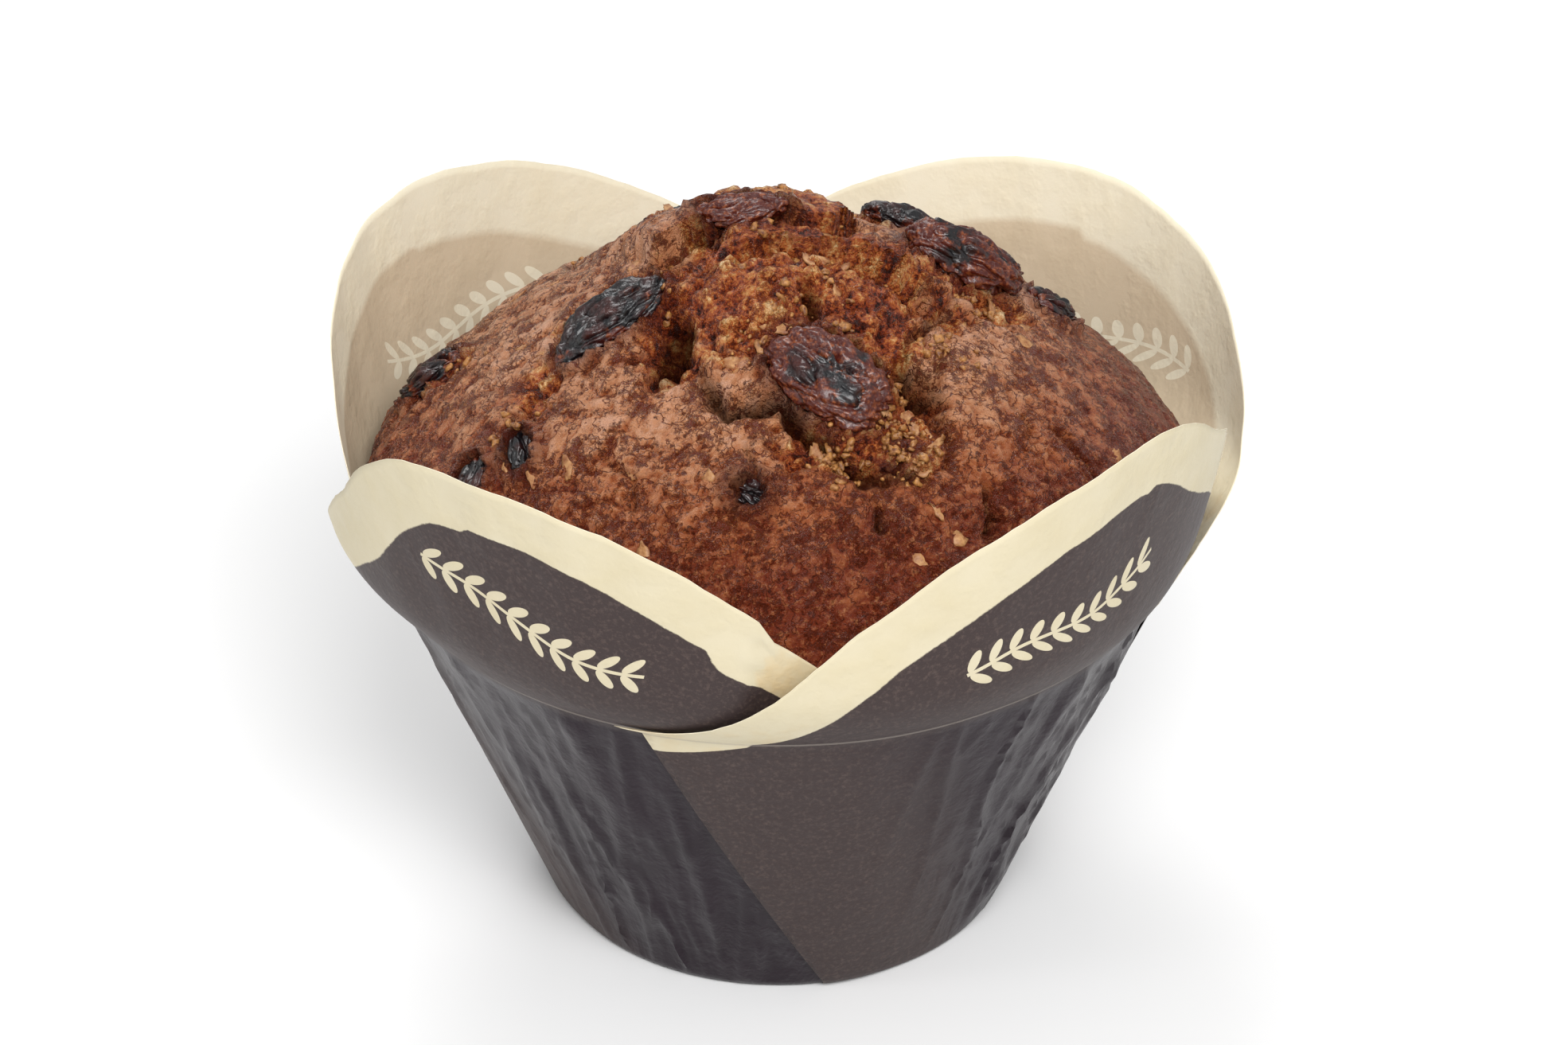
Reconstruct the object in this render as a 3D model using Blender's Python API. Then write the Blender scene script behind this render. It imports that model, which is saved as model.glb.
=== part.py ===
"""Raisin bran muffin baked in a folded paper liner with four upright petals.

Metres, +Z up. The origin is the middle of the liner's flat base. Azimuths are in degrees, counted
from -Y towards +X, and -Y faces the corner where the two front petals overlap.
"""
import math

import bmesh
import bpy
from mathutils import Matrix, Vector, noise

MM = 0.001

# Paper liner: a straight leaning cup, a crease, and four petals that stand up above the crease.
BASE_FLAT_RADIUS = 24.9 * MM
BASE_RADIUS = 26.4 * MM
BASE_CORNER_HEIGHT = 1.2 * MM
CREASE_RADIUS = 43.0 * MM
CREASE_HEIGHT = 43.0 * MM
VALLEY_TILT = 8.0
PETAL_TILTS = (10.0, 15.0, 8.0, 13.5)
FLARE_REACH = 3.05 * MM
FLARE_FADE = 3.0 * MM
VALLEY_RISE = 13.5 * MM
PETAL_PEAKS = (30.9 * MM, 26.0 * MM, 29.3 * MM, 30.7 * MM)
FIRST_PETAL_AZIMUTH = 52.0
PETAL_STEP = 90.0
LINER_WALL = 0.6 * MM
LINER_STEPS = 60
WALL_ROWS = 2
PETAL_ROW_RISES = (0.06, 0.14, 0.26, 0.45, 0.64, 0.82, 1.0)

# Pleat flaps: each petal's left end lies outside its neighbour, edged by a diagonal fold.
FLAP_FOOT_AZIMUTH = 11.0
FLAP_TIP_AZIMUTH = -23.0
FLAP_END_AZIMUTH = 40.0
FLAP_FOOT_HEIGHT = 2.0 * MM
FLAP_TIP_RISE = 0.8 * MM
FLAP_PROUD = 0.6 * MM
FLAP_SUNK = 0.4 * MM
FLAP_COLUMNS = 9
FLAP_ROWS = 10
FLAP_CUP_SHARE = 3 / 10

# Baked crumb: it fills the cup and rises from the crease as a rough dome.
FIT_GAP = 0.35 * MM
CRUMB_STEPS = 64
CRUMB_WALL_ROWS = 4
DOME_OUTLINE = (
    (42.0 * MM, 43.0 * MM), (43.3 * MM, 45.2 * MM), (44.4 * MM, 47.6 * MM), (44.9 * MM, 50.0 * MM),
    (44.3 * MM, 52.6 * MM), (42.6 * MM, 55.2 * MM), (40.0 * MM, 58.0 * MM), (36.3 * MM, 61.3 * MM),
    (31.8 * MM, 64.8 * MM), (27.0 * MM, 67.9 * MM), (22.0 * MM, 71.0 * MM), (16.5 * MM, 74.2 * MM),
    (11.0 * MM, 76.9 * MM), (5.5 * MM, 78.6 * MM), (0.0 * MM, 79.3 * MM),
)
DOME_HEART = Vector((0.0, 0.0, 35.0 * MM))
RELIEF_FADE_START = 46.0 * MM
RELIEF_FADE_END = 54.0 * MM

# Swells of the dome: azimuth, radius, reach and height.
SWELLS = (
    (-110.0, 6.0 * MM, 13.0 * MM, 1.8 * MM),
    (8.0, 12.0 * MM, 8.0 * MM, 1.2 * MM),
    (72.0, 30.0 * MM, 12.0 * MM, 1.0 * MM),
    (-45.0, 28.0 * MM, 10.0 * MM, 0.8 * MM),
    (150.0, 25.0 * MM, 12.0 * MM, 0.9 * MM),
)
# The main crack runs across the front of the dome: azimuth and radius of its corners.
CRACK_ROUTE = ((-44.0, 15.5 * MM), (-14.0, 22.0 * MM), (4.0, 26.0 * MM), (27.0, 29.5 * MM))
CRACK_WIDTH = 2.4 * MM
CRACK_DEPTH = 2.0 * MM
LUMP_SPACING = 9.0 * MM
LUMP_HEIGHT = 0.6 * MM

# Raisins: name, azimuth, radius, half length, half width, half thickness, height of the centre
# above the crust, and the turn of the long axis from straight down the slope.
RAISINS = (
    ("raisin_left_edge", -97.0, 37.8, 4.8, 2.6, 1.9, 0.2, 0.0),
    ("raisin_upper_left", -67.0, 19.0, 7.3, 4.0, 2.7, 0.0, 5.0),
    ("raisin_small_left", -53.0, 32.8, 2.6, 2.0, 1.3, 0.0, 50.0),
    ("raisin_lower_left", -58.5, 37.0, 3.0, 2.2, 1.5, 0.0, 20.0),
    ("raisin_centre", 15.0, 20.0, 7.2, 5.2, 3.0, 0.0, 43.0),
    ("raisin_top_right", 102.0, 19.0, 7.6, 4.2, 3.4, 1.8, 0.0),
    ("raisin_front", -6.0, 30.6, 2.2, 1.8, 1.2, 0.0, 70.0),
    ("raisin_crown", -127.0, 5.0, 5.5, 3.0, 1.8, 0.2, 37.0),
    ("raisin_right_edge", 107.0, 30.5, 3.8, 2.3, 1.7, 0.5, 0.0),
    ("raisin_in_crack", 28.0, 29.5, 3.0, 2.4, 1.6, -0.6, 60.0),
    ("raisin_back_left", -150.0, 24.0, 5.0, 3.2, 2.0, 0.2, 60.0),
    ("raisin_back", 172.0, 33.0, 4.4, 3.0, 1.9, 0.2, 20.0),
    ("raisin_back_right", 143.0, 22.0, 5.4, 3.4, 2.2, 0.3, -35.0),
)
RAISIN_RINGS = 8
RAISIN_SIDES = 12
RAISIN_LUMP = 0.14

PAPER_COLOUR = (0.070, 0.055, 0.050, 1.0)
CRUMB_COLOUR = (0.230, 0.080, 0.035, 1.0)
RAISIN_COLOUR = (0.030, 0.012, 0.012, 1.0)


def clear_scene():
    """Empty the scene, so that only this part is in it."""
    for item in list(bpy.data.objects):
        bpy.data.objects.remove(item)


def surface_material(name, colour, roughness):
    """A plain non-metallic material."""
    material = bpy.data.materials.new(name)
    material.use_nodes = True
    shader = material.node_tree.nodes["Principled BSDF"]
    shader.inputs["Base Color"].default_value = colour
    shader.inputs["Roughness"].default_value = roughness
    shader.inputs["Metallic"].default_value = 0.0
    return material


def add_object(name, shape, material):
    """Turn a finished bmesh into an object in the scene."""
    bmesh.ops.recalc_face_normals(shape, faces=shape.faces)
    mesh = bpy.data.meshes.new(name)
    shape.to_mesh(mesh)
    shape.free()
    mesh.materials.append(material)
    mesh.shade_smooth()
    mesh.set_sharp_from_angle(angle=math.radians(40))
    item = bpy.data.objects.new(name, mesh)
    bpy.context.scene.collection.objects.link(item)
    return item


def add_cutter(name, shape, material):
    """An object that only shapes another one through a Boolean."""
    cutter = add_object(name, shape, material)
    cutter.hide_render = True
    cutter.display_type = "WIRE"
    return cutter


def add_boolean(item, other, operation):
    """Join the other object to this one, or cut it out of this one."""
    modifier = item.modifiers.new(other.name, "BOOLEAN")
    modifier.operation = operation
    modifier.object = other


def around(azimuth, radius, height):
    """The point at an azimuth in degrees, a radius and a height."""
    angle = math.radians(azimuth)
    return Vector((radius * math.sin(angle), -radius * math.cos(angle), height))


def azimuth_of(point):
    """Azimuth in degrees of a point about the vertical axis."""
    return math.degrees(math.atan2(point.x, -point.y))


def smooth_step(start, end, value):
    """0 before start, 1 after end, and an even ease between them."""
    share = min(max((value - start) / (end - start), 0.0), 1.0)
    return share * share * (3.0 - 2.0 * share)


def spin_outline(outline, steps):
    """Turn an outline of radii and heights about +Z and close its poles."""
    shape = bmesh.new()
    corners = [shape.verts.new((radius, 0.0, height)) for radius, height in outline]
    edges = [shape.edges.new(pair) for pair in zip(corners, corners[1:])]
    bmesh.ops.spin(
        shape, geom=corners + edges, cent=(0, 0, 0), axis=(0, 0, 1), dvec=(0, 0, 0),
        angle=2 * math.pi, steps=steps, use_merge=True, use_duplicate=False,
    )
    bmesh.ops.remove_doubles(shape, verts=shape.verts, dist=0.01 * MM)
    return shape


def wall_radius(height):
    """Outer radius of the cup's wall, which leans out evenly up to the crease."""
    share = height / CREASE_HEIGHT
    return BASE_RADIUS + (CREASE_RADIUS - BASE_RADIUS) * share


def over_petals(azimuth, at_valley, at_middles):
    """A value that swells from the valleys between the petals to each petal's middle line."""
    turn = (azimuth - FIRST_PETAL_AZIMUTH + PETAL_STEP / 2) % 360.0
    off_middle = turn % PETAL_STEP - PETAL_STEP / 2
    swell = math.cos(math.radians(2 * off_middle))
    return at_valley + (at_middles[int(turn // PETAL_STEP)] - at_valley) * swell


def petal_radius(azimuth, rise):
    """Outer radius of a petal, which flares out at the crease and then leans out a little."""
    flare = FLARE_REACH * (1.0 - math.exp(-rise / FLARE_FADE))
    tilt = math.radians(over_petals(azimuth, VALLEY_TILT, PETAL_TILTS))
    return CREASE_RADIUS + flare + rise * math.tan(tilt)


def petal_rise(azimuth):
    """Height of the rim above the crease: four round petals with valleys between them."""
    return over_petals(azimuth, VALLEY_RISE, PETAL_PEAKS)


def liner_outline():
    """Half section of the liner's outer skin. Above the crease its heights are shares of the petal."""
    outline = [(0.0, 0.0), (BASE_FLAT_RADIUS / 2, 0.0), (BASE_FLAT_RADIUS, 0.0)]
    outline.append(((BASE_FLAT_RADIUS + BASE_RADIUS) / 2 + 0.3 * MM, BASE_CORNER_HEIGHT / 4))
    for row in range(WALL_ROWS + 1):
        height = BASE_CORNER_HEIGHT + (CREASE_HEIGHT - BASE_CORNER_HEIGHT) * row / WALL_ROWS
        outline.append((wall_radius(height), height))
    for share in PETAL_ROW_RISES:
        outline.append((CREASE_RADIUS, CREASE_HEIGHT + share))
    return outline


def liner_wall():
    """The cup and its petals as one thin shell, open at the top."""
    shape = spin_outline(liner_outline(), LINER_STEPS)
    turn = Matrix.Rotation(math.radians(FIRST_PETAL_AZIMUTH + PETAL_STEP / 2), 4, "Z")
    bmesh.ops.transform(shape, matrix=turn, verts=shape.verts)
    for vert in shape.verts:
        share = vert.co.z - CREASE_HEIGHT
        if share > 0.01:
            azimuth = azimuth_of(vert.co)
            rise = share * petal_rise(azimuth)
            vert.co = around(azimuth, petal_radius(azimuth, rise), CREASE_HEIGHT + rise)
    bmesh.ops.recalc_face_normals(shape, faces=shape.faces)
    bmesh.ops.solidify(shape, geom=shape.faces, thickness=LINER_WALL)
    return shape


def flap_rim_rise(azimuth, turn):
    """Rim of a flap, from its low tip up to the valley where the two petals cross."""
    span = FIRST_PETAL_AZIMUTH - PETAL_STEP / 2 - FLAP_TIP_AZIMUTH
    share = (azimuth - FLAP_TIP_AZIMUTH) / span
    if share > 1.0:
        return petal_rise(azimuth + turn) - FLAP_PROUD
    return FLAP_TIP_RISE + (VALLEY_RISE - FLAP_PROUD - FLAP_TIP_RISE) * share ** 1.15


def flap_point(turn, across, up, proud):
    """A point of the flap at a turn from the front one, at shares of its width and height."""
    tip_azimuth = FLAP_TIP_AZIMUTH + (FLAP_END_AZIMUTH - FLAP_TIP_AZIMUTH) * across
    if up > FLAP_CUP_SHARE:
        share = (up - FLAP_CUP_SHARE) / (1.0 - FLAP_CUP_SHARE)
        rise = flap_rim_rise(tip_azimuth, turn) * share
        radius = petal_radius(tip_azimuth + turn, rise) + proud
        return around(tip_azimuth + turn, radius, CREASE_HEIGHT + rise)
    share = up / FLAP_CUP_SHARE
    height = FLAP_FOOT_HEIGHT + (CREASE_HEIGHT - FLAP_FOOT_HEIGHT) * share
    fold = FLAP_FOOT_AZIMUTH + (FLAP_TIP_AZIMUTH - FLAP_FOOT_AZIMUTH) * height / CREASE_HEIGHT
    azimuth = fold + (FLAP_END_AZIMUTH - fold) * across
    return around(azimuth + turn, wall_radius(height) + proud, height)


def liner_flap(turn):
    """One flap: a thin patch on the wall that runs out level with it away from the fold."""
    shape = bmesh.new()
    bmesh.ops.create_grid(shape, x_segments=FLAP_COLUMNS, y_segments=FLAP_ROWS, size=0.5)
    skin = list(shape.faces)
    thick = bmesh.ops.extrude_face_region(shape, geom=skin, use_keep_orig=True)
    inner = {item for item in thick["geom"] if isinstance(item, bmesh.types.BMVert)}
    for vert in shape.verts:
        across = vert.co.x + 0.5
        up = vert.co.y + 0.5
        proud = FLAP_PROUD - (FLAP_PROUD + FLAP_SUNK / 3) * smooth_step(0.0, 1.0, across)
        if vert in inner:
            proud = -FLAP_SUNK
        vert.co = flap_point(turn, across, up, proud)
    return shape


def outline_at(radius):
    """Height of the dome's outline at a radius inside its widest ring."""
    upper = [point for point in DOME_OUTLINE if point[1] >= 50.0 * MM]
    for outer, inner in zip(upper, upper[1:]):
        if inner[0] <= radius:
            share = (radius - inner[0]) / (outer[0] - inner[0])
            return inner[1] + (outer[1] - inner[1]) * share
    return upper[-1][1]


def distance_to_crack(point):
    """Distance, seen from above, to the line of the main crack."""
    flat = Vector((point.x, point.y))
    corners = [around(azimuth, radius, 0.0).to_2d() for azimuth, radius in CRACK_ROUTE]
    nearest = 1.0
    for start, end in zip(corners, corners[1:]):
        run = end - start
        share = min(max((flat - start).dot(run) / run.length_squared, 0.0), 1.0)
        nearest = min(nearest, (flat - start - run * share).length)
    return nearest


def dome_relief(point):
    """How far the crust stands out from the plain dome at a point on it."""
    relief = LUMP_HEIGHT * noise.noise(point / LUMP_SPACING)
    for azimuth, radius, reach, height in SWELLS:
        away = (point.to_2d() - around(azimuth, radius, 0.0).to_2d()).length
        relief += height * math.exp(-(away / reach) ** 2)
    relief -= CRACK_DEPTH * math.exp(-(distance_to_crack(point) / CRACK_WIDTH) ** 2)
    return relief * smooth_step(RELIEF_FADE_START, RELIEF_FADE_END, point.z)


def crumb_outline():
    """Half section of the crumb: a flat foot, the wall inside the liner, and the dome."""
    inset = (LINER_WALL + FIT_GAP) * 1.08
    foot = LINER_WALL + FIT_GAP
    corner = foot + BASE_CORNER_HEIGHT
    outline = [(0.0, foot), (BASE_FLAT_RADIUS / 2, foot), (BASE_FLAT_RADIUS - inset, foot)]
    for row in range(CRUMB_WALL_ROWS):
        height = corner + (CREASE_HEIGHT - corner) * row / CRUMB_WALL_ROWS
        outline.append((wall_radius(height) - inset, height))
    outline.extend(DOME_OUTLINE)
    return outline


def crumb_body():
    """The crumb before the raisins' sockets are cut."""
    shape = spin_outline(crumb_outline(), CRUMB_STEPS)
    for vert in shape.verts:
        outward = (vert.co - DOME_HEART).normalized()
        vert.co += outward * dome_relief(vert.co)
    return shape


def raisin_place(azimuth, radius, proud, turn):
    """Placement of a raisin: local Z leaves the crust and local X is the raisin's length."""
    step = 1.0 * MM
    slope = (outline_at(radius + step) - outline_at(radius - step)) / (2 * step)
    normal = around(azimuth, -slope, 1.0).normalized()
    plain = around(azimuth, radius, outline_at(radius))
    outward = (plain - DOME_HEART).normalized()
    centre = plain + outward * dome_relief(plain) + normal * proud
    downhill = around(azimuth, 1.0, slope).normalized()
    axes = Matrix((downhill, normal.cross(downhill), normal)).transposed().to_4x4()
    return Matrix.Translation(centre) @ axes @ Matrix.Rotation(math.radians(turn), 4, "Z")


def raisin_shape(half_length, half_width, half_thickness, place):
    """A dried fruit: a flattened, slightly lumpy and folded pebble."""
    shape = bmesh.new()
    bmesh.ops.create_uvsphere(shape, u_segments=RAISIN_SIDES, v_segments=RAISIN_RINGS, radius=1.0)
    for vert in shape.verts:
        lump = 1.0 + RAISIN_LUMP * noise.noise(vert.co * 1.3 + place.translation / LUMP_SPACING)
        vert.co.x *= half_length * lump
        vert.co.y *= half_width * lump
        vert.co.z *= half_thickness * lump
    bmesh.ops.transform(shape, matrix=place, verts=shape.verts)
    return shape


def build_liner():
    """One sheet of paper: the wall joined with its four pleat flaps."""
    paper = surface_material("liner_paper", PAPER_COLOUR, 0.6)
    liner = add_object("paper_liner", liner_wall(), paper)
    for quarter in range(4):
        flap = add_cutter(f"flap_guide_{quarter + 1}", liner_flap(PETAL_STEP * quarter), paper)
        add_boolean(liner, flap, "UNION")


def build_muffin():
    """The crumb with a socket for each raisin, and the raisins in their sockets."""
    baked = surface_material("baked_crumb", CRUMB_COLOUR, 0.6)
    fruit = surface_material("raisin_fruit", RAISIN_COLOUR, 0.35)
    crumb = add_object("muffin_crumb", crumb_body(), baked)
    for name, azimuth, radius, length, width, thickness, proud, turn in RAISINS:
        place = raisin_place(azimuth, radius * MM, proud * MM, turn)
        halves = [half * MM for half in (length, width, thickness)]
        add_object(name, raisin_shape(*halves, place), fruit)
        socket = [half + FIT_GAP for half in halves]
        cutter = add_cutter(f"socket_{name}", raisin_shape(*socket, place), fruit)
        add_boolean(crumb, cutter, "DIFFERENCE")


clear_scene()
build_liner()
build_muffin()
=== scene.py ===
"""The looks of a raisin bran muffin that stands in its folded paper liner.

Lengths are in millimetres until a point is placed. Azimuths are in degrees, counted from -Y
towards +X, and -Y faces the corner where the two front petals overlap.
"""
import bisect
import math
import random

import bmesh
import bpy
import numpy
from mathutils import Matrix, Vector, noise
from mathutils.bvhtree import BVHTree


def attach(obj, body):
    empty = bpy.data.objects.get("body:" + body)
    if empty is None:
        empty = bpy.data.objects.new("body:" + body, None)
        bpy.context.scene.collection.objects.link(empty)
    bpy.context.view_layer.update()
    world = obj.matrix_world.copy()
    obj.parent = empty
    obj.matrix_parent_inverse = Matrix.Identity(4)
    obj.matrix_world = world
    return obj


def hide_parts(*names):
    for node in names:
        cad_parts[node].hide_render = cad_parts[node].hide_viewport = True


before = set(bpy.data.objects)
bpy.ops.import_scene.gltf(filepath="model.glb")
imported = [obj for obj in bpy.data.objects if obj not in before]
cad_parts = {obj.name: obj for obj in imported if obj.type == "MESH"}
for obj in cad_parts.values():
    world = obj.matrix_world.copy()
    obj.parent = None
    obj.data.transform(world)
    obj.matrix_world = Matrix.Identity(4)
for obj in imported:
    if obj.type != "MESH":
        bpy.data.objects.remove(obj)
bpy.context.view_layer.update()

# ---------------------------------------------------------------------------------------------
# Paper liner. One sheet of greaseproof paper with a four-petalled outline, pressed over a plug
# into a cup: the spare paper goes into four Z-pleats that all lap the same way round. Above the
# crease, at the mould's rim, the petals stand free, and each left end lies over its neighbour.
MM = 0.001
BASE_FLAT = 24.4
BASE_CORNER = 2.2
CORNER_TURN = math.radians(68.4)
CREASE_RADIUS = 43.0
CREASE_HEIGHT = 43.0
FLARE_REACH = 3.05
FLARE_FADE = 3.0
VALLEY_TILT = 8.0
PETAL_AZIMUTH = 52.0
PETAL_TIPS = (104.5, 99.5, 102.5, 104.5)
PETAL_TILTS = (10.0, 15.0, 8.0, 13.5)
PETAL_TURNS = (-3.0, -6.0, 6.0, 0.0)
NOTCH_RADIUS = 72.4
PETAL_ROUNDNESS = 1.8
PLEAT_AZIMUTH = 11.0
PLEAT_OPENING = 16.0
FLAP_STANDS = (1.0, 3.0, 0.9, 2.2)
FRONT_RIGHT_PETAL = 0
FRONT_LEFT_PETAL = 3
FRONT_RIGHT_DROP = 4.8
FRONT_LEFT_DROP = 6.6
TUCK_OFFSET = 20.4
TUCK_DROP = 1.7
TUCK_DEPTH = 0.8
BORDER_WIDTH = 6.8
LAYER_GAP = 0.28
PAPER_THICKNESS = 0.08
PANEL_COLUMNS = 100
LAP_COLUMNS = 8
BASE_ROWS = 6
CORNER_ROWS = 4
WALL_ROWS = 34
PETAL_ROWS = 36
# Where each petal's printed sprig lies in the flat sheet: across its petal, along it, and its turn.
SPRIG_PLACES = ((-9.5, 83.5, 20.0), (-7.0, 81.0, 4.0), (-4.5, 83.0, 6.0), (5.5, 86.0, -22.0))


def smooth_step(start, end, value):
    """0 before start, 1 after end, and an even ease between them."""
    share = min(max((value - start) / (end - start), 0.0), 1.0)
    return share * share * (3.0 - 2.0 * share)


def mix(low, high, share):
    """The value a share of the way from low to high."""
    return low + (high - low) * share


def around(azimuth, radius, height=0.0):
    """The point at an azimuth in degrees, a radius and a height."""
    angle = math.radians(azimuth)
    return Vector((radius * math.sin(angle), -radius * math.cos(angle), height))


CORNER_END = BASE_FLAT + BASE_CORNER * CORNER_TURN
WALL_FOOT = (BASE_FLAT + BASE_CORNER * math.sin(CORNER_TURN), BASE_CORNER * (1 - math.cos(CORNER_TURN)))
WALL_RUN = math.dist(WALL_FOOT, (CREASE_RADIUS, CREASE_HEIGHT))
CREASE_RUN = CORNER_END + WALL_RUN


def petal_tilt(azimuth):
    """How far a petal leans out: most at its middle, and least in the valleys."""
    quarter, off_middle = divmod((azimuth - PETAL_AZIMUTH + 45.0) % 360.0, 90.0)
    swell = math.cos(math.radians(2 * (off_middle - 45.0)))
    return mix(VALLEY_TILT, PETAL_TILTS[int(quarter)], swell)


def petal_turn(azimuth):
    """How far a petal's free part has turned about the cup, eased from petal to petal."""
    quarter, share = divmod((azimuth - PETAL_AZIMUTH) % 360.0, 90.0)
    here, there = PETAL_TURNS[int(quarter)], PETAL_TURNS[(int(quarter) + 1) % 4]
    return mix(here, there, smooth_step(0.0, 90.0, share))


def cup_section(run, azimuth=52.0):
    """Radius and height of the paper at a way along it from the middle of the base."""
    if run <= BASE_FLAT:
        return run, 0.0
    if run <= CORNER_END:
        turn = (run - BASE_FLAT) / BASE_CORNER
        return BASE_FLAT + BASE_CORNER * math.sin(turn), BASE_CORNER * (1 - math.cos(turn))
    if run <= CREASE_RUN:
        share = (run - CORNER_END) / WALL_RUN
        return mix(WALL_FOOT[0], CREASE_RADIUS, share), mix(WALL_FOOT[1], CREASE_HEIGHT, share)
    tilt = math.radians(petal_tilt(azimuth))
    rise = run - CREASE_RUN
    for _ in range(6):
        rise = (run - CREASE_RUN - 1.12 * (1 - math.exp(-rise / 2.6))) * math.cos(tilt)
    flare = FLARE_REACH * (1 - math.exp(-rise / FLARE_FADE))
    return CREASE_RADIUS + flare + rise * math.tan(tilt), CREASE_HEIGHT + rise


def tuck(petal, offset):
    """1 past the small tuck that runs up the front left petal, 0 before it."""
    return smooth_step(TUCK_OFFSET - 0.3, TUCK_OFFSET + 0.3, offset) if petal == FRONT_LEFT_PETAL else 0.0


def outline_run(offset, petal):
    """The flat sheet's outline: its distance from the middle at an angle off a petal's middle."""
    tip = PETAL_TIPS[petal]
    bend = max(math.cos(math.radians(2 * offset)), 0.0)
    wavy = 0.22 * noise.noise(Vector((offset * 0.32, tip, 0.0)))
    wavy += 0.1 * noise.noise(Vector((offset, tip, 7.0)))
    if petal == FRONT_LEFT_PETAL:
        wavy -= 1.0 * smooth_step(6.0, 18.0, offset) + TUCK_DROP * tuck(petal, offset)
        wavy -= FRONT_LEFT_DROP * smooth_step(-2.5, -15.0, offset) * smooth_step(-43.0, -24.0, offset)
    if petal == FRONT_RIGHT_PETAL:
        wavy -= FRONT_RIGHT_DROP * smooth_step(-1.0, 11.0, offset) * smooth_step(40.0, 22.0, offset)
    return NOTCH_RADIUS + (tip - NOTCH_RADIUS) * bend ** PETAL_ROUNDNESS + wavy


def fold_lines(run):
    """Flat angles of a petal's outer and inner fold, and the inner fold's azimuth."""
    radius = cup_section(run)[0]
    spread = run / radius if run > 0 else 1.0
    lap = 45.0 * (spread - 1.0)
    above = run - CREASE_RUN
    inner_azimuth = PLEAT_AZIMUTH + PLEAT_OPENING * smooth_step(0.0, 8.0, above)
    outer = (PETAL_AZIMUTH - PLEAT_AZIMUTH + lap) / spread
    if above > 0:
        outer = mix(outer, 45.0, smooth_step(0.0, 0.5, above))
    inner = (inner_azimuth + 90.0 - PETAL_AZIMUTH) / spread
    return outer, min(inner, 90.0 - outer), inner_azimuth, spread


def column_offset(column, run):
    """Flat angle off the petal's middle of a mesh column, which follows the fold lines."""
    outer, inner, _, _ = fold_lines(run)
    if column <= PANEL_COLUMNS:
        return mix(-outer, inner, column / PANEL_COLUMNS)
    return mix(inner, 90.0 - outer, (column - PANEL_COLUMNS) / LAP_COLUMNS)


def rim_run(column, petal):
    """Where a mesh column meets the sheet's outline."""
    low, high = CREASE_RUN + 0.3, PETAL_TIPS[petal] + 1.0
    for _ in range(24):
        middle = (low + high) / 2
        if outline_run(column_offset(column, middle), petal) > middle:
            low = middle
        else:
            high = middle
    return low


def row_run(row, rim):
    """Way along the paper of a mesh row, with rows at the base's corner and at the crease."""
    if row <= BASE_ROWS:
        return BASE_FLAT * row / BASE_ROWS
    row -= BASE_ROWS
    if row <= CORNER_ROWS:
        return mix(BASE_FLAT, CORNER_END, row / CORNER_ROWS)
    row -= CORNER_ROWS
    if row <= WALL_ROWS:
        return mix(CORNER_END, CREASE_RUN, row / WALL_ROWS)
    return mix(CREASE_RUN, rim, ((row - WALL_ROWS) / PETAL_ROWS) ** 1.15)


def wall_crumple(azimuth, run):
    """Soft upright creases that the greasy paper takes from the crumb behind it."""
    angle = math.radians(azimuth)
    lean = run * 0.012
    where = Vector((math.cos(angle) * 7.5 + lean, math.sin(angle) * 7.5 - lean, run * 0.026))
    ridge = 1 - smooth_step(0.0, 0.17, abs(noise.noise(where)))
    fine = 1 - smooth_step(0.0, 0.16, abs(noise.noise(where * 2.3 + Vector((5.0, 1.0, run * 0.02)))))
    slow = noise.noise(where * 0.6 + Vector((2.0, 8.0, 0.0)))
    reach = smooth_step(BASE_FLAT, CORNER_END + 4, run) * (1 - smooth_step(CREASE_RUN - 3, CREASE_RUN, run))
    return reach * (0.55 * ridge + 0.26 * fine + 0.5 * slow - 0.25)


def petal_wave(azimuth, run):
    """The free petals' slow waves."""
    angle = math.radians(azimuth)
    slow = noise.noise(Vector((math.cos(angle) * 2.2, math.sin(angle) * 2.2, run * 0.03 + 9.0)))
    quick = noise.noise(Vector((math.cos(angle) * 9.0, math.sin(angle) * 9.0, run * 0.03 + 4.0)))
    return smooth_step(CREASE_RUN + 2, CREASE_RUN + 14, run) * (0.8 * slow + 0.25 * quick)


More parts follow.
